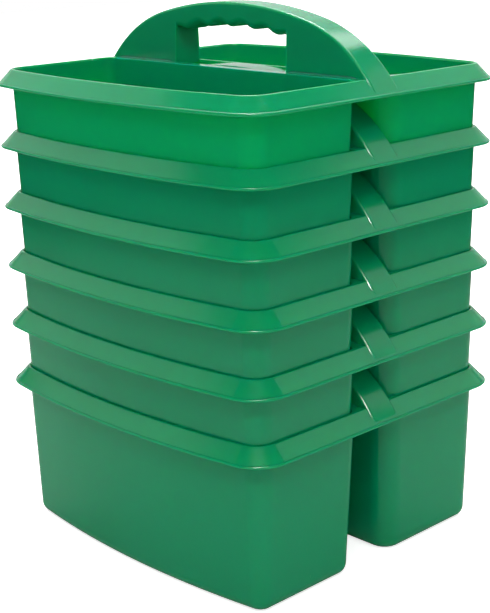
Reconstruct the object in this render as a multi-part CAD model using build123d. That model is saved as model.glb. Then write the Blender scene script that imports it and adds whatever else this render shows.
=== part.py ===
"""Nested stack of six two-compartment cleaning caddies, each one moulded piece with an arched carry handle.

Millimetres, +Z up. The handle runs along X. The front compartment, with the ledge, faces -Y.
The origin is on the floor plane, under the middle of the stack.
"""
import math
import os

from build123d import *

# ---------------------------------------------------------------- overall sizes
rim_length = 235.0          # across the skirt, along the handle
rim_depth = 229.0           # across the skirt, at the middle of the two bowed sides
body_height = 101.0         # floor to the top of the rim
handle_rise = 38.5          # top of the rim to the top of the handle
stack_count = 6

# ---------------------------------------------------------------- moulding
wall = 1.2
floor_thickness = 1.8
draft = 2.2                 # degrees, the same on every standing wall so that the caddies nest
nest_gap = 0.26             # between the walls of two nested caddies, measured level
base_round = 7.0            # outside radius between wall and floor, all round each tub

# ---------------------------------------------------------------- rim skirt
side_bow = 11.0             # how far each long side bows out at its middle
skirt_corner = 22.0         # plan radius of the skirt's lower edge
skirt_drop = 9.0
skirt_slope_width = 8.5
skirt_to_wall = 9.0         # skirt's lower edge in to the outside of the wall, at the rim
plate = 1.8                 # thickness of the skirt and ledge, measured straight down
rim_edge_round = 0.8
lead_in = 0.55              # bevel on the inner edge of each compartment's top
lead_in_depth = 1.1

# ---------------------------------------------------------------- channel between the compartments
handle_width = 20.6         # across the handle's two panels, at the rim
ledge_width = 5.7           # flat strip between the front compartment and the handle
front_mouth_radius = 8.4    # plan radius of the front tub at the channel's mouths
rear_mouth_radius = 13.0

# ---------------------------------------------------------------- handle
crown_radius = 245.0        # flat middle of the arch
crown_half = 62.0           # the crown ends this far from the middle
foot_inset = 0.6            # arch's end, in from the skirt's lower edge
handle_edge_round = 1.6
hole_half = 48.0            # hand opening, half its length
leg_clearance = 0.8         # leg end walls stop this far above the nested handle beneath
grip_depth = 13.6           # arch top to the mean underside of the grip
finger_pitch = 19.0
finger_wave = 1.25          # half the depth of a finger notch
grip_round = 3.6
grip_skin = 2.6             # grip wall, thicker than the panels for the hand
grip_bore_depth = 9.0       # arch top to the bottom of the grip's hollow

# ---------------------------------------------------------------- derived
slope = math.tan(math.radians(draft))
stack_pitch = (wall + nest_gap) / slope     # rise from one nested caddy to the next
rim_z = body_height
half_length = rim_length / 2
half_depth = rim_depth / 2
panel_y = handle_width / 2
ledge_y = -(panel_y + ledge_width)
arch_top_z = rim_z + handle_rise
crown_centre_z = arch_top_z - crown_radius
crown_angle = math.asin(crown_half / crown_radius)
# the haunch leaves the crown smoothly and ends on the skirt's lower edge
foot_x = half_length - foot_inset
foot_z = rim_z - skirt_drop - crown_centre_z
foot_along = foot_x * math.sin(crown_angle) + foot_z * math.cos(crown_angle)
foot_square = foot_x ** 2 + foot_z ** 2
haunch_radius = (foot_square - 2 * crown_radius * foot_along + crown_radius ** 2) / (
    2 * (crown_radius - foot_along)
)
haunch_centre_x = (crown_radius - haunch_radius) * math.sin(crown_angle)
haunch_centre_z = crown_centre_z + (crown_radius - haunch_radius) * math.cos(crown_angle)
bow_radius = (half_length ** 2 + side_bow ** 2) / (2 * side_bow)
beyond = rim_length         # cutters run this far, clear of the part


def box(x0, x1, y0, y1, z0, z1):
    """Solid box between the given limits."""
    middle = Pos((x0 + x1) / 2, (y0 + y1) / 2, (z0 + z1) / 2)
    return middle * Box(x1 - x0, y1 - y0, z1 - z0)


def rim_outline(inset):
    """Face of the plan outline, moved in from the skirt's lower edge by inset.

    The long sides are arcs of bow_radius - inset, the ends are straight, the corners are rounded.
    """
    radius = bow_radius - inset
    end_x = half_length - inset
    corner = skirt_corner - inset
    centre_y = half_depth - bow_radius
    # the corner circle touches the end line and, from inside, the bowed side
    cx = end_x - corner
    cy = centre_y + math.sqrt((radius - corner) ** 2 - cx ** 2)
    angle = math.atan2(cy - centre_y, cx)
    tx = cx + corner * math.cos(angle)
    ty = cy + corner * math.sin(angle)
    middle = angle / 2
    mx = cx + corner * math.cos(middle)
    my = cy + corner * math.sin(middle)
    top = half_depth - inset
    edges = [
        Line((end_x, -cy), (end_x, cy)),
        ThreePointArc((end_x, cy), (mx, my), (tx, ty)),
        ThreePointArc((tx, ty), (0, top), (-tx, ty)),
        ThreePointArc((-tx, ty), (-mx, my), (-end_x, cy)),
        Line((-end_x, cy), (-end_x, -cy)),
        ThreePointArc((-end_x, -cy), (-mx, -my), (-tx, -ty)),
        ThreePointArc((-tx, -ty), (0, -top), (tx, -ty)),
        ThreePointArc((tx, -ty), (mx, -my), (end_x, -cy)),
    ]
    return make_face(Wire(edges))


def channel_prism(grow, z0, z1):
    """Space between the tubs, widened by grow, from z0 up to z1. It widens downward with the draft."""
    f0 = ledge_y + wall - grow - (rim_z - z0) * slope
    f1 = ledge_y + wall - grow - (rim_z - z1) * slope
    r0 = panel_y - wall + grow + (rim_z - z0) * slope
    r1 = panel_y - wall + grow + (rim_z - z1) * slope
    section = make_face(Polyline((f0, z0), (r0, z0), (r1, z1), (f1, z1), close=True))
    return extrude(Plane.YZ * section, amount=beyond, both=True)


def split_tubs(shell, grow):
    """The shell as a front and a rear tub, with the channel between and its mouths rounded."""
    low = shell.bounding_box().min.Z
    high = shell.bounding_box().max.Z
    halves = (shell - channel_prism(grow, low - 1, high + 1)).solids().sort_by(Axis.Y)
    rounded = []
    for half, radius in ((halves[0], front_mouth_radius), (halves[-1], rear_mouth_radius)):
        # a free-standing copy, so that the fillet gives back this tub alone
        tub = Solid(half.wrapped)
        uprights = tub.edges().filter_by(is_mouth_edge)
        rounded.append(fillet(uprights, radius - grow))
    return rounded


def is_mouth_edge(edge):
    """True for an upright straight edge beside the channel."""
    a = edge.position_at(0)
    b = edge.position_at(1)
    near = abs(a.Y) < panel_y + ledge_width + wall + rim_z * slope
    return near and abs(a.X - b.X) < abs(a.Z - b.Z) and abs(a.Y - b.Y) < abs(a.Z - b.Z)


def drawn_down(face, top_z, depth, angle):
    """Face at top_z drawn down by depth; a positive angle narrows it on the way."""
    return extrude(Pos(0, 0, top_z) * face, amount=depth, dir=(0, 0, -1), taper=angle)


def arch_z(x, inset=0.0):
    """Height of the arch's top line at x, moved in by inset."""
    if abs(x) <= crown_half:
        return crown_centre_z + math.sqrt((crown_radius - inset) ** 2 - x ** 2)
    reach = abs(x) - haunch_centre_x
    return haunch_centre_z + math.sqrt((haunch_radius - inset) ** 2 - reach ** 2)


def arch_face(inset, bottom_z):
    """Face in the XZ plane under the arch line, moved in by inset, down to bottom_z."""
    r1 = crown_radius - inset
    r2 = haunch_radius - inset
    xc = r1 * math.sin(crown_angle)
    zc = crown_centre_z + r1 * math.cos(crown_angle)
    foot = math.acos((bottom_z - haunch_centre_z) / r2)
    xf = haunch_centre_x + r2 * math.sin(foot)
    half_way = (foot + crown_angle) / 2
    xm = haunch_centre_x + r2 * math.sin(half_way)
    zm = haunch_centre_z + r2 * math.cos(half_way)
    edges = [
        ThreePointArc((-xc, zc), (0, crown_centre_z + r1), (xc, zc)),
        ThreePointArc((xc, zc), (xm, zm), (xf, bottom_z)),
        Line((xf, bottom_z), (-xf, bottom_z)),
        ThreePointArc((-xf, bottom_z), (-xm, zm), (-xc, zc)),
    ]
    return make_face(Wire(edges))


def across(face, half):
    """XZ face stood up and drawn to both sides of the middle plane."""
    return extrude(Plane.XZ * face, amount=half, both=True)


def handle_wedge(half_at_rim, z0, z1):
    """Long bar along X whose two sides lean in with the draft."""
    w0 = half_at_rim - (z0 - rim_z) * slope
    w1 = half_at_rim - (z1 - rim_z) * slope
    section = make_face(Polyline((-w0, z0), (w0, z0), (w1, z1), (-w1, z1), close=True))
    return extrude(Plane.YZ * section, amount=beyond, both=True)


def make_handle_outer():
    """Arch with both panels still solid, its two top edges rounded."""
    foot_z = rim_z - skirt_drop
    bar = across(arch_face(0, foot_z), handle_width) & handle_wedge(panel_y, foot_z, arch_top_z)
    inner_end = half_length - skirt_to_wall - front_mouth_radius
    bar = bar - box(-inner_end, inner_end, -beyond, beyond, foot_z, rim_z - plate)
    top_edges = [e for e in bar.edges() if is_arch_edge(e)]
    return fillet(top_edges, handle_edge_round)


def is_arch_edge(edge):
    """True for the two long curved edges where the arch meets the panels."""
    for t in (0.25, 0.5, 0.75):
        p = edge.position_at(t)
        if abs(p.Z - arch_z(p.X)) > 0.05 or abs(p.Y) < 5:
            return False
    return True


def hole_face():
    """XZ face of the hand opening, from the rim up to the finger-notched underside of the grip."""
    steps = 24
    points = []
    for i in range(steps + 1):
        x = -hole_half + 2 * hole_half * i / steps
        wave = finger_wave * math.cos(2 * math.pi * x / finger_pitch)
        points.append((x, arch_z(x) - grip_depth - wave))
    edges = [
        Spline(*points),
        Line(points[-1], (hole_half, rim_z)),
        Line((hole_half, rim_z), (-hole_half, rim_z)),
        Line((-hole_half, rim_z), points[0]),
    ]
    return make_face(Wire(edges))


def make_handle_hollow():
    """Spaces inside the handle: both legs, the grip's bore that joins them, and the slot under the grip."""
    foot_z = rim_z - skirt_drop
    inside = panel_y - wall
    end_wall = hole_half + wall
    legs = across(arch_face(wall, foot_z), handle_width) & handle_wedge(inside, foot_z, arch_top_z)
    legs = legs - box(-end_wall, end_wall, -beyond, beyond, 0, arch_top_z)
    bore = across(arch_face(grip_skin, rim_z), inside - grip_skin)
    bore = bore - across(arch_face(grip_bore_depth, rim_z), handle_width)
    bore = bore & box(-end_wall - wall, end_wall + wall, -beyond, beyond, rim_z, arch_top_z)
    slot = box(-hole_half, hole_half, -inside, inside, foot_z, rim_z)
    # the end walls stop above the handle of a caddy nested beneath
    nested_z = arch_z(hole_half) - stack_pitch + leg_clearance
    end_wall_z = max(rim_z - plate, nested_z)
    foot_gap = box(-end_wall, end_wall, -inside, inside, foot_z, end_wall_z)
    return legs, bore, slot + foot_gap


def round_foot(solid, radius):
    """The solid with the edges of its floor rounded."""
    return fillet(solid.faces().sort_by(Axis.Z)[0].edges(), radius)


def make_caddy():
    """One caddy, its floor on z = 0."""
    # skirt and ledge: a sloped lid, hollow beneath
    skirt_angle = math.degrees(math.atan(skirt_slope_width / skirt_drop))
    lid = extrude(Pos(0, 0, rim_z - skirt_drop) * rim_outline(0), amount=skirt_drop, taper=skirt_angle)
    top_loop = lid.faces().sort_by(Axis.Z)[-1].edges()
    under = Pos(0, 0, -plate) * lid
    lid = fillet(top_loop, rim_edge_round)
    skirt = lid - under
    # two tubs: one drawn body split by the channel, each part with a rounded foot
    drawn = drawn_down(rim_outline(skirt_to_wall), rim_z - plate / 2, rim_z - plate / 2, draft)
    shell = [round_foot(tub, base_round) for tub in split_tubs(drawn, 0)]
    drawn = drawn_down(rim_outline(skirt_to_wall + wall), rim_z, rim_z - floor_thickness, draft)
    space = [round_foot(tub, base_round - wall) for tub in split_tubs(drawn, wall)]
    handle = make_handle_outer()
    legs, bore, slot = make_handle_hollow()
    hole = across(hole_face(), handle_width)
    handle = handle - hole
    rims = [e for e in handle.edges() if is_grip_edge(e)]
    handle = fillet(rims, grip_round)
    body = skirt + shell[0] + shell[1] + handle
    body = body - space[0] - space[1]
    body = body - legs - slot - bore
    return body - make_lead_in()


def make_lead_in():
    """Bevel round both compartments' tops up to the channel's mouths, and a strip along the ledge."""
    funnel_angle = math.degrees(math.atan(lead_in / lead_in_depth))
    funnel = drawn_down(rim_outline(skirt_to_wall + wall - lead_in), rim_z, lead_in_depth, funnel_angle)
    front_end = ledge_y - front_mouth_radius
    rear_end = panel_y + rear_mouth_radius
    funnel = funnel - box(-beyond, beyond, front_end, rear_end, 0, rim_z + 1)
    far = half_length - skirt_to_wall - front_mouth_radius
    section = Polyline((ledge_y, rim_z + 1), (ledge_y, rim_z - lead_in), (ledge_y + lead_in, rim_z),
                       (ledge_y + lead_in, rim_z + 1), close=True)
    strip = extrude(Plane.YZ * make_face(section), amount=far, both=True)
    return funnel + strip


def is_grip_edge(edge):
    """True for the two notched edges under the grip."""
    if edge.length < 1.8 * hole_half:
        return False
    p = edge.position_at(0.5)
    return abs(p.X) < 5 and abs(p.Z - (arch_top_z - grip_depth)) < 3


def main():
    names = ["bottom_caddy", "second_caddy", "third_caddy", "fourth_caddy", "fifth_caddy", "top_caddy"]
    caddy = make_caddy()
    os.makedirs("parts", exist_ok=True)
    for level, name in enumerate(names[:stack_count]):
        export_step(Pos(0, 0, level * stack_pitch) * caddy, "parts/" + name + ".step")


if __name__ == "__main__":
    main()
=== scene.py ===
# %% [markdown]
# # A nested stack of cleaning caddies
# Six identical caddies sit one inside another. Each is a single injection moulding in glossy
# green polypropylene: two tubs, a sloped rim that runs round both, and an arched carry handle.
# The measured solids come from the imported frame. This lesson gives them their plastic, adds the
# fine moulded details as surfaces worked out with numpy, and lights them as a plain product shot.

# %% Load the frame
import math

import bpy
import numpy as np
from mathutils import Matrix, Vector


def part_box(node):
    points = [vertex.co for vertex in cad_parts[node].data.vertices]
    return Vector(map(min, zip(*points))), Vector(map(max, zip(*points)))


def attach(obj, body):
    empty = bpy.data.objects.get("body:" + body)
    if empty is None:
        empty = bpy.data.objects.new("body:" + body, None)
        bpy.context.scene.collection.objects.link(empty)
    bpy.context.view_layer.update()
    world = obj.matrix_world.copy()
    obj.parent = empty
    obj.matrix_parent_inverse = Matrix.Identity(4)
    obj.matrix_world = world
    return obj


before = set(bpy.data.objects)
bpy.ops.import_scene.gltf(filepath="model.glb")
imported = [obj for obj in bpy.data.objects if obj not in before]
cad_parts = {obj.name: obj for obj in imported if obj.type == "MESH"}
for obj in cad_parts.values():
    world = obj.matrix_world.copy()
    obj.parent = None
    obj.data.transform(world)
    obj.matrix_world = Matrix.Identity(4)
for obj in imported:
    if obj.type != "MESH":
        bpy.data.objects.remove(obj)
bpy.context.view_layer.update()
names = ["bottom", "second", "third", "fourth", "fifth", "top"]

# %% [markdown]
# The camera looks down a little from the corner between the front tub and the right-hand end.
# It stands most of a metre away with a long lens, so that the upright walls stay nearly parallel,
# and its sensor is shifted a little so that the stack fills the frame.

# %% Camera
azimuth, elevation, roll = 46.31, 13.61, -1.26     # degrees; azimuth 0 looks along +Y
lens_at = Vector((0.6134, -0.5859, 0.3836))
lens_length = 82.16         # mm
sensor_shift = -0.0979      # up, as a share of the frame's longer side
nearest = 0.01              # metres from the lens


def looking(azimuth, elevation):
    """Unit vector of a view: turned by azimuth about Z from +Y, and tipped down by elevation."""
    a, e = math.radians(azimuth), math.radians(elevation)
    return Vector((-math.sin(a) * math.cos(e), math.cos(a) * math.cos(e), -math.sin(e)))


forward = looking(azimuth, elevation)
right = forward.cross(Vector((0, 0, 1))).normalized()
up = right.cross(forward)
turn = math.radians(roll)
x_axis = math.cos(turn) * right + math.sin(turn) * up
y_axis = math.cos(turn) * up - math.sin(turn) * right
camera = bpy.data.objects.new("camera", bpy.data.cameras.new("camera"))
bpy.context.scene.collection.objects.link(camera)
turned = Matrix((x_axis, y_axis, -forward)).transposed().to_4x4()
camera.matrix_world = Matrix.Translation(lens_at) @ turned
camera.data.lens = lens_length
camera.data.shift_y = sensor_shift
camera.data.clip_start = nearest
bpy.context.scene.camera = camera
print("camera at", [round(v, 3) for v in camera.location])

# %% [markdown]
# Every material here is a tree of nodes. The nodes could be placed and joined one line at a time,
# but the same few steps return again and again, so they are written once as short functions.

# %% Helpers for node groups and materials
def new_group(name, inputs, outputs):
    """Node group with the given sockets: inputs and outputs are (name, kind, default)."""
    group = bpy.data.node_groups.new(name, "ShaderNodeTree")
    for label, kind, default in inputs:
        socket = group.interface.new_socket(
            name=label, in_out="INPUT", socket_type="NodeSocket" + kind
        )
        socket.default_value = default
    for label, kind in outputs:
        group.interface.new_socket(name=label, in_out="OUTPUT", socket_type="NodeSocket" + kind)
    enter = group.nodes.new("NodeGroupInput")
    leave = group.nodes.new("NodeGroupOutput")
    return group, enter, leave


def add(tree, kind, **settings):
    """New node of a kind in a tree, with attributes set from settings."""
    node = tree.nodes.new("ShaderNode" + kind)
    for key, value in settings.items():
        setattr(node, key, value)
    return node


def math_node(tree, operation, a, b=None, c=None, clamp=False):
    """Math node; each of a, b, c is a socket or a number. Returns its output socket."""
    node = add(tree, "Math", operation=operation, use_clamp=clamp)
    for index, value in enumerate((a, b, c)):
        if value is None:
            continue
        if isinstance(value, (int, float)):
            node.inputs[index].default_value = value
        else:
            tree.links.new(value, node.inputs[index])
    return node.outputs[0]


def noise(tree, vector, scale, detail=2.0, roughness=0.5):
    """Noise texture read at vector, with a size in cycles per metre. Returns its value socket."""
    node = add(tree, "TexNoise")
    node.inputs["Scale"].default_value = scale
    node.inputs["Detail"].default_value = detail
    node.inputs["Roughness"].default_value = roughness
    tree.links.new(vector, node.inputs["Vector"])
    return node.outputs["Fac"]


print("helpers", [helper.__name__ for helper in (new_group, add, math_node, noise)])

# %% [markdown]
# A moulded skin is never quite even. Clouds of colour, a slow ripple, a very fine grain and thin
# upright scuffs are all noise, read at different sizes. Each caddy's material could hold its own
# copy of them, but a node group holds them once, and each material gives it its own values.

# %% Moulded skin group
grain_scale, ripple_scale, cloud_scale = 700.0, 22.0, 11.0     # cycles per metre
scuff_scale = (620.0, 620.0, 26.0)                             # narrow across, long upright
scuff_gain, scuff_cut = 6.0, -3.9                              # only the strongest streaks stay
grain_height = 0.012                                           # beside a ripple of 1
plain_gloss, cloud_gloss, scuff_gloss = 0.13, 0.08, 0.10       # roughness and what adds to it
skin, enter, leave = new_group(
    "moulded_skin",
    [("Vector", "Vector", (0, 0, 0)), ("Ripple", "Float", 1.0), ("Scuff", "Float", 1.0)],
    [("Tone", "Float"), ("Roughness", "Float"), ("Height", "Float")],
)
fine = noise(skin, enter.outputs["Vector"], grain_scale)
broad = noise(skin, enter.outputs["Vector"], ripple_scale, detail=1.0)
clouds = noise(skin, enter.outputs["Vector"], cloud_scale, detail=3.0)
stretch = add(skin, "Mapping")
stretch.inputs["Scale"].default_value = scuff_scale
skin.links.new(enter.outputs["Vector"], stretch.inputs["Vector"])
streaks = noise(skin, stretch.outputs["Vector"], 1.0, roughness=0.6)
rubbed = math_node(skin, "MULTIPLY_ADD", streaks, scuff_gain, scuff_cut, clamp=True)
rubbed = math_node(skin, "MULTIPLY", rubbed, enter.outputs["Scuff"])
ripple = math_node(skin, "MULTIPLY", broad, enter.outputs["Ripple"])
height = math_node(skin, "MULTIPLY_ADD", fine, grain_height, ripple)
skin.links.new(height, leave.inputs["Height"])
skin.links.new(clouds, leave.inputs["Tone"])
gloss = math_node(skin, "MULTIPLY_ADD", clouds, cloud_gloss, plain_gloss)
gloss = math_node(skin, "MULTIPLY_ADD", rubbed, scuff_gloss, gloss, clamp=True)
skin.links.new(gloss, leave.inputs["Roughness"])
print("group", skin.name, "has", len(skin.nodes), "nodes")

# %% [markdown]
# Polypropylene is slightly cloudy. Light that enters a thin wall spreads inside it and comes out
# on the other side, so a single wall with light behind it looks brighter than two nested ones.
# Subsurface scattering gives this by itself, because each wall is modelled at its real thickness.

# %% Green polypropylene
pattern_step = (1.7, 0.9, 2.3)                  # metres between one caddy's patch and the next's
skin_strength, skin_depth = 0.25, 0.0004        # of the bump; the depth is in metres
refraction = 1.49
spread_weight, spread_reach = 0.9, 0.006        # of light inside the wall; the reach is in metres
spread_by_colour = (0.08, 1.0, 0.45)            # green goes farthest


def polypropylene(name, dark, light, seed, ripple=1.0, scuff=1.0):
    """Glossy translucent plastic: colour clouds between dark and light, on its own patch."""
    material = bpy.data.materials.new(name)
    material.use_nodes = True
    tree = material.node_tree
    shader = tree.nodes["Principled BSDF"]
    place = add(tree, "TexCoord")
    shift = add(tree, "Mapping")
    shift.inputs["Location"].default_value = [seed * step for step in pattern_step]
    tree.links.new(place.outputs["Object"], shift.inputs["Vector"])
    group = add(tree, "Group", node_tree=skin)
    group.inputs["Ripple"].default_value = ripple
    group.inputs["Scuff"].default_value = scuff
    tree.links.new(shift.outputs["Vector"], group.inputs["Vector"])
    colour = add(tree, "Mix", data_type="RGBA")
    colour.inputs["A"].default_value = (*dark, 1)
    colour.inputs["B"].default_value = (*light, 1)
    tree.links.new(group.outputs["Tone"], colour.inputs["Factor"])
    tree.links.new(colour.outputs["Result"], shader.inputs["Base Color"])
    tree.links.new(group.outputs["Roughness"], shader.inputs["Roughness"])
    bump = add(tree, "Bump")
    bump.inputs["Strength"].default_value = skin_strength
    bump.inputs["Distance"].default_value = skin_depth
    tree.links.new(group.outputs["Height"], bump.inputs["Height"])
    tree.links.new(bump.outputs["Normal"], shader.inputs["Normal"])
    shader.inputs["IOR"].default_value = refraction
    shader.inputs["Subsurface Weight"].default_value = spread_weight
    shader.inputs["Subsurface Radius"].default_value = spread_by_colour
    shader.inputs["Subsurface Scale"].default_value = spread_reach
    return material


dark_green, light_green = (0.0, 0.265, 0.108), (0.0, 0.315, 0.130)
greens = {}
for seed, name in enumerate(names):
    greens[name] = polypropylene(name + "_polypropylene", dark_green, light_green, seed)
    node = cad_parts[name + "_caddy"]
    node.data.materials.clear()
    node.data.materials.append(greens[name])
print("materials", sorted(m.name for m in greens.values()))

# %% [markdown]
# The measured solid's rim ends in a thin edge. On the real moulding that edge is rolled into a
# smooth lip, which catches a fine line of light right round each caddy. It is made as a round
# profile carried along the rim's outline. The outline has straight ends, long sides that bow out
# as arcs, and rounded corners, so every point on it and its outward direction are known exactly.

# %% Rim outline
half_length, half_depth = 0.1175, 0.1145     # of the rim's lower edge
side_bow, corner_radius = 0.011, 0.022
rim_drop = 0.009
handle_top = 0.0385                          # above the rim
level_low = {name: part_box(name + "_caddy")[0].z for name in names}
level_top = {name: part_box(name + "_caddy")[1].z for name in names}
rim_level = {name: level_top[name] - handle_top for name in names}
print("rims at", {name: round(z, 4) for name, z in rim_level.items()})


def rim_outline(per_side=72, per_corner=20, per_end=12):
    """Points of the rim's lower edge and their outward directions, anticlockwise, as two arrays.

    One quarter is an end line, a corner arc and half a bowed side; mirrored copies close the loop.
    """
    bow = (half_length**2 + side_bow**2) / (2 * side_bow)
    centre_y = half_depth - bow
    cx = half_length - corner_radius
    cy = centre_y + math.sqrt((bow - corner_radius) ** 2 - cx**2)
    meet = math.atan2(cy - centre_y, cx)
    end_y = np.linspace(0, cy, per_end, endpoint=False)
    end = np.stack([np.full_like(end_y, half_length), end_y], 1)
    end_out = np.tile((1.0, 0.0), (per_end, 1))
    a = np.linspace(0, meet, per_corner, endpoint=False)
    corner_out = np.stack([np.cos(a), np.sin(a)], 1)
    corner = np.array((cx, cy)) + corner_radius * corner_out
    b = np.linspace(meet, math.pi / 2, per_side // 2 + 1)
    side_out = np.stack([np.cos(b), np.sin(b)], 1)
    side = np.array((0.0, centre_y)) + bow * side_out
    quarter = np.concatenate([end, corner, side])
    out = np.concatenate([end_out, corner_out, side_out])
    # the second quarter is the first mirrored in X and run backwards; the rest is half turned
    half = np.concatenate([quarter, (quarter * (-1, 1))[::-1][1:-1]])
    half_out = np.concatenate([out, (out * (-1, 1))[::-1][1:-1]])
    return np.concatenate([half, -half]), np.concatenate([half_out, -half_out])


loop, loop_out = rim_outline()
print("outline has", len(loop), "points")

# %% [markdown]
# Each new surface is a grid of points worked out as whole arrays. A grid becomes a mesh when every
# point is joined to its neighbours by four-sided faces. It is closed into a tube or a ring where
# its ends meet, or covered by a cap at each end. Each piece then rides on its own caddy.

# %% Grids joined into meshes
def grid_faces(rows, columns, start, closed_u, closed_v, caps):
    """Quads of a grid of points numbered from start, plus its two end rows as caps if asked."""
    index = start + np.arange(rows * columns).reshape(rows, columns)
    ends = [index[0].tolist(), index[-1][::-1].tolist()] if caps else []
    if closed_u:
        index = np.concatenate([index, index[:1]])
    if closed_v:
        index = np.concatenate([index, index[:, :1]], 1)
    corners = (index[:-1, :-1], index[1:, :-1], index[1:, 1:], index[:-1, 1:])
    return np.stack(corners, -1).reshape(-1, 4).tolist() + ends


def make_piece(name, body, grids, closed_u=False, closed_v=False, caps=False):
    """Smooth piece made of grids of points, riding on a body in that caddy's plastic."""
    faces = []
    start = 0
    for points in grids:
        rows, columns = points.shape[:2]
        faces += grid_faces(rows, columns, start, closed_u, closed_v, caps)
        start += rows * columns
    mesh = bpy.data.meshes.new(name)
    mesh.from_pydata(np.concatenate([g.reshape(-1, 3) for g in grids]).tolist(), [], faces)
    mesh.polygons.foreach_set("use_smooth", [True] * len(faces))
    mesh.materials.append(greens[body])
    piece = bpy.data.objects.new(name, mesh)
    bpy.context.scene.collection.objects.link(piece)
    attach(piece, body)
    return piece


print("a grid of 3 by 4 points makes", len(grid_faces(3, 4, 0, False, False, False)), "faces")


# %% Rolled lips
def rolled_lip(radius=0.00100, inset=0.00104, rise=0.0001, around=14):
    """Round bar along the outline: outline point plus direction times cos, height plus sin."""
    t = np.linspace(0, 2 * math.pi, around, endpoint=False)
    reach = radius * np.cos(t) - inset
    flat = loop[:, None, :] + loop_out[:, None, :] * reach[None, :, None]
    z = np.broadcast_to(radius * np.sin(t) + rise, flat.shape[:2])
    return np.concatenate([flat, z[..., None]], 2)


lip = rolled_lip()
for name in names:
    level = (0, 0, rim_level[name] - rim_drop)
    piece = make_piece(name + "_rolled_lip", name, [lip + level], closed_u=True, closed_v=True)
print("each lip has", len(piece.data.polygons), "faces")

# %% [markdown]
# Where the front panel of the handle stands on the ledge, the mould leaves a small hollow
# curve instead of a sharp inside corner. Each one is a quarter circle carried along the
# ledge, and its radius fades to nothing at both ends, beside the hand hole and at the arch's foot.

# %% Coves along the ledge
panel_front = -0.0103
draft = math.tan(math.radians(2.2))
hand_hole, arch_foot = 0.0485, 0.104         # along X from the middle


def cove(x0, x1, radius=0.0010, least=1e-5, buried=0.0005, along=48, across=9, fade=0.006):
    """Hollow quarter circle between the ledge and the panel, with a buried back to close it.

    Across, the angle runs from the ledge (0) up to the panel (90 degrees) round a centre that
    stands one radius out and one radius up; along, the radius is scaled by a smooth step.
    """
    x = np.linspace(x0, x1, along)
    near = np.clip(np.minimum(x - x0, x1 - x) / fade, 0, 1)
    r = radius * (near * near * (3 - 2 * near)) + least
    t = np.linspace(0, math.pi / 2, across)
    y = -r[:, None] * (1 - np.sin(t))[None, :]
    z = r[:, None] * (1 - np.cos(t))[None, :]
    y = panel_front + y + z * draft
    face = np.stack([np.broadcast_to(x[:, None], y.shape), y, z], 2)
    back = np.stack([x, np.full(along, panel_front + buried), np.full(along, -buried)], 1)
    return np.concatenate([face, back[:, None, :]], 1)


coves = [cove(-arch_foot, -hand_hole), cove(hand_hole, arch_foot)]
for name in names:
    level = (0, 0, rim_level[name])
    grids = [c + level for c in coves]
    piece = make_piece(name + "_ledge_coves", name, grids, closed_v=True, caps=True)
print("coves have", len(piece.data.polygons), "faces in each caddy")

# %% [markdown]
# The moulding process leaves marks on the inside of each tub's floor: the round gate in the
# middle, where the plastic ran in, and four faint rings where pins pushed the finished caddy off
# the mould. They are shallow surfaces of revolution, sunk a little into the floor.

# %% Gate and pin marks
floor_thickness = 0.0018
tub_middles = ((0, -0.058), (0, 0.054))
pin_places = np.array([(x, y) for x in (-0.062, 0.062) for y in (-0.021, 0.021)])


def gate_mark(radius=0.0026, height=0.00035, sunk=0.0003, hub=0.04, rows=10, columns=40):
    """Low dome: z = height * (1 - (r / radius)^2), with a flat underside sunk in the floor.

    The grid starts at a small share of the radius, hub, where a cap closes it.
    """
    r = np.concatenate([np.linspace(hub, 1, rows), [1, hub]]) * radius
    z = height * (1 - (r / radius) ** 2)
    z[-2:] = -sunk
    a = np.linspace(0, 2 * math.pi, columns, endpoint=False)
    z = np.broadcast_to(z[:, None], (len(r), columns))
    return np.stack([r[:, None] * np.cos(a), r[:, None] * np.sin(a), z], 2)


def pin_mark(radius=0.0040, bead=0.00022, rows=8, columns=48):
    """Thin ring whose round section, of radius bead, stands half out of the floor."""
    t = np.linspace(0, -2 * math.pi, rows, endpoint=False)
    a = np.linspace(0, 2 * math.pi, columns, endpoint=False)
    r = (radius + bead * np.cos(t))[:, None]
    z = np.broadcast_to((bead * np.sin(t))[:, None], (rows, columns))
    return np.stack([r * np.cos(a), r * np.sin(a), z], 2)


gates = [gate_mark() + (*middle, 0) for middle in tub_middles]
rings = [pin_mark() + (*(place + middle), 0) for middle in tub_middles for place in pin_places]
for name in names:
    level = (0, 0, level_low[name] + floor_thickness)
    make_piece(name + "_gate_marks", name, [g + level for g in gates], closed_v=True, caps=True)
    make_piece(name + "_pin_marks", name, [r + level for r in rings], closed_u=True, closed_v=True)
print(len(gates), "gates and", len(rings), "pin rings in each caddy")

# %% [markdown]
# The stack stands on a plain pale floor that turns white away from it and keeps its shadow. More
# light would whiten the plastic too, so the floor itself glows a little, for the camera alone.
# To glossy rays alone the floor's colour is dimmed towards dark, more so farther out: a painted
# dark reflection that keeps the lower walls a deep green.

# %% Floor
def smooth_step(tree, value, low, high):
    """Factor that rises smoothly from 0 at low to 1 at high."""
    node = add(tree, "MapRange", interpolation_type="SMOOTHSTEP")
    tree.links.new(value, node.inputs["Value"])
    node.inputs["From Min"].default_value = low
    node.inputs["From Max"].default_value = high
    return node.outputs["Result"]


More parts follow.
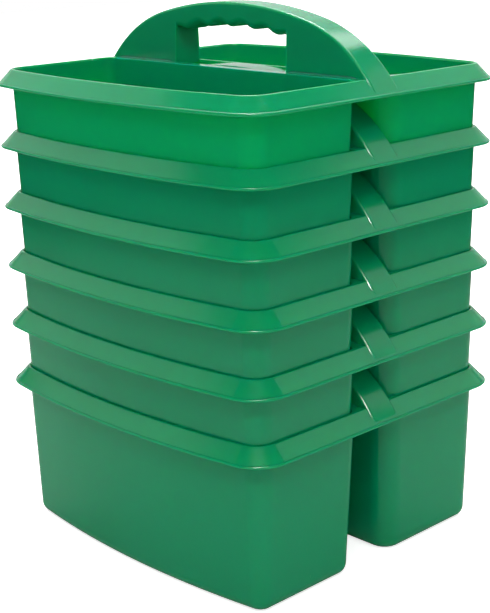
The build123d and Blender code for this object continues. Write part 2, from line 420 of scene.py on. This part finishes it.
floor_half = 4                                                    # metres
paper, shade = (0.8, 0.8, 0.8, 1), (0.02, 0.02, 0.02, 1)
near_edge, far_edge = 0.45, 0.95                                  # metres from the middle
near_shade, near_glow = 0.55, 0.75
more_shade, more_glow = 0.45, 0.4                                 # added at the far edge
turns = ((-1, -1), (1, -1), (1, 1), (-1, 1))
corners = [(x * floor_half, y * floor_half, 0) for x, y in turns]
floor_mesh = bpy.data.meshes.new("floor")
floor_mesh.from_pydata(corners, [], [(0, 1, 2, 3)])
floor = bpy.data.objects.new("floor", floor_mesh)
bpy.context.scene.collection.objects.link(floor)
pale = bpy.data.materials.new("pale_floor")
pale.use_nodes = True
tree = pale.node_tree
shader = tree.nodes["Principled BSDF"]
shader.inputs["Roughness"].default_value = 0.7
shader.inputs["Specular IOR Level"].default_value = 0.1
shader.inputs["Emission Color"].default_value = (1, 1, 1, 1)
rays = add(tree, "LightPath")
place = add(tree, "TexCoord")
reach = add(tree, "VectorMath", operation="LENGTH")
tree.links.new(place.outputs["Object"], reach.inputs[0])
far = smooth_step(tree, reach.outputs["Value"], near_edge, far_edge)
# painted dark reflection: only glossy rays see the floor's colour dimmed, more so farther out
dimmed = math_node(tree, "MULTIPLY_ADD", far, more_shade, near_shade)
painted_reflection_dimming = math_node(tree, "MULTIPLY", dimmed, rays.outputs["Is Glossy Ray"])
sweep = add(tree, "Mix", data_type="RGBA")
sweep.inputs["A"].default_value = paper
sweep.inputs["B"].default_value = shade
tree.links.new(painted_reflection_dimming, sweep.inputs["Factor"])
tree.links.new(sweep.outputs["Result"], shader.inputs["Base Color"])
lift = math_node(tree, "MULTIPLY_ADD", far, more_glow, near_glow)
lift = math_node(tree, "MULTIPLY", lift, rays.outputs["Is Camera Ray"])
tree.links.new(lift, shader.inputs["Emission Strength"])
floor_mesh.materials.append(pale)
print("floor is", 2 * floor_half, "m wide and goes pale from", near_edge, "to", far_edge, "m")

# %% [markdown]
# The world is an even white fill that softens the shadows, and plain white to the camera. To the
# gloss it is nearly dark, except behind the stack, where a pale backdrop would stand in a studio.

# %% World
even_fill = 0.5
backdrop_way = (-0.70, 0.70, -0.1)
backdrop_edges = (0.55, 0.85)                # of the product with that way
backdrop_shine, dark_shine = 0.9, 0.05
world = bpy.data.worlds.new("studio")
bpy.context.scene.world = world
world.use_nodes = True
tree = world.node_tree
sky = tree.nodes["Background"]
rays = add(tree, "LightPath")
place = add(tree, "TexCoord")
behind = add(tree, "VectorMath", operation="DOT_PRODUCT")
tree.links.new(place.outputs["Generated"], behind.inputs[0])
behind.inputs[1].default_value = backdrop_way
backdrop = smooth_step(tree, behind.outputs["Value"], *backdrop_edges)
mirrored = math_node(tree, "MULTIPLY_ADD", backdrop, backdrop_shine, dark_shine)
fill = math_node(tree, "MULTIPLY_ADD", rays.outputs["Is Glossy Ray"], -even_fill, even_fill)
shine = math_node(tree, "MULTIPLY", rays.outputs["Is Glossy Ray"], mirrored)
level = math_node(tree, "ADD", fill, shine)
level = math_node(tree, "MAXIMUM", level, rays.outputs["Is Camera Ray"])
sky.inputs["Color"].default_value = (1, 1, 1, 1)
tree.links.new(level, sky.inputs["Strength"])
print("world", world.name, "fills with", even_fill, "and has", len(tree.nodes), "nodes")

# %% [markdown]
# Four soft panels stand round the stack: one on each side, one overhead and one above the camera.
# The upper edge of each side panel is where the sheen on the sloped rims stops, short of the near
# corner. Two small strips are seen only in reflections, and brighten the fine line along the lips.

# %% Lights
middle_of_stack = (0, 0, 0.16)


def soft_panel(name, azimuth, elevation, distance, width, height, level, aim=middle_of_stack):
    """Area light on a sphere round the stack, facing it. Azimuth 0 is on the -Y side, 90 on +X.

    Level is the panel's own brightness, where 1 is white paper.
    """
    a, e = math.radians(azimuth), math.radians(elevation)
    away = Vector((math.sin(a) * math.cos(e), -math.cos(a) * math.cos(e), math.sin(e)))
    lamp = bpy.data.lights.new(name, "AREA")
    lamp.shape = "RECTANGLE"
    lamp.size, lamp.size_y = width, height
    lamp.energy = level * math.pi * width * height
    item = bpy.data.objects.new(name, lamp)
    bpy.context.scene.collection.objects.link(item)
    item.location = Vector(aim) + away * distance
    item.rotation_euler = (-away).to_track_quat("-Z", "Y").to_euler()
    print(name, "power", round(lamp.energy, 1), "W")
    return item


soft_panel(
    "left_panel", azimuth=-72, elevation=34, distance=1.6, width=1.3, height=0.8, level=0.75
)
soft_panel(
    "right_panel", azimuth=162, elevation=30, distance=1.6, width=1.0, height=0.75, level=0.8
)
soft_panel("top_panel", azimuth=-140, elevation=68, distance=1.5, width=1.4, height=1.4, level=3.6)
soft_panel("front_panel", azimuth=46, elevation=48, distance=1.6, width=1.3, height=0.3, level=8.2)
for name, around, above, level in (("front_strip", 46, 40, 60.0), ("back_strip", -134, 62, 20.0)):
    strip = soft_panel(name, around, above, distance=1.5, width=0.5, height=0.18, level=level)
    strip.visible_diffuse = False
    strip.visible_transmission = False
bpy.context.scene.view_settings.view_transform = "Standard"
